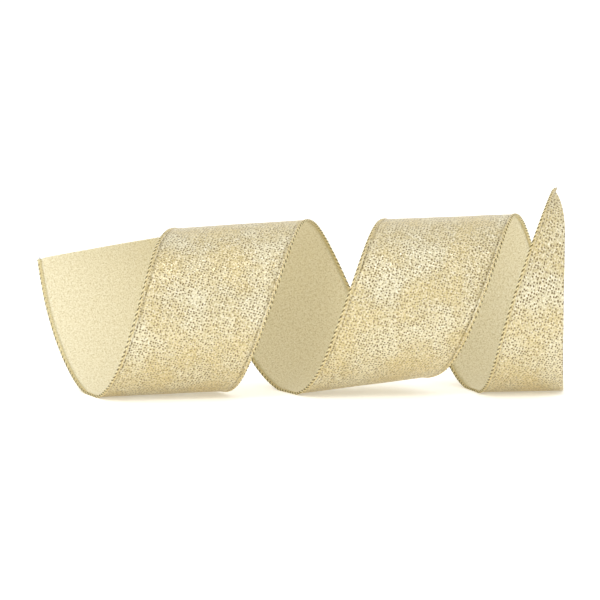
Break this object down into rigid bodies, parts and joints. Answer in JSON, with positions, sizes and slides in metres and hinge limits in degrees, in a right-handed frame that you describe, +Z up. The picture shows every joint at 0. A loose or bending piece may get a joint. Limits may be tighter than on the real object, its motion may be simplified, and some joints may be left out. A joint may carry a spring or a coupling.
{
  "type": "coiled wired ribbon",
  "caption": "Wire-edged glitter gift ribbon curled into a loose open coil that lies on its side, for bows, wreaths and wrapping.",
  "frame": {"origin": "under the middle of the coil, on the surface that it lies on", "axes": "+X along the coil's axis from the square-cut end to the long-cut end, -Y towards the side where the glitter face leans to the right, +Z up"},
  "size_m": [0.2713, 0.1002, 0.1019],
  "materials": {
    "woven_ground": "matt plain weave, cream",
    "glitter_face": "pale champagne gold metallic glitter",
    "hem": "folded metallic hem, ochre gold",
    "edge_wire": "drawn soft steel wire",
    "overlock_thread": "metallic thread, olive and yellow gold"
  },
  "bodies": {
    "root": {"ribbon_ground": "woven_ground", "glitter_coat": "glitter_face", "left_selvedge": "hem", "right_selvedge": "hem", "left_edge_wire": "edge_wire", "right_edge_wire": "edge_wire", "left_overlock_thread": "overlock_thread", "right_overlock_thread": "overlock_thread"}
  },
  "joints": []
}
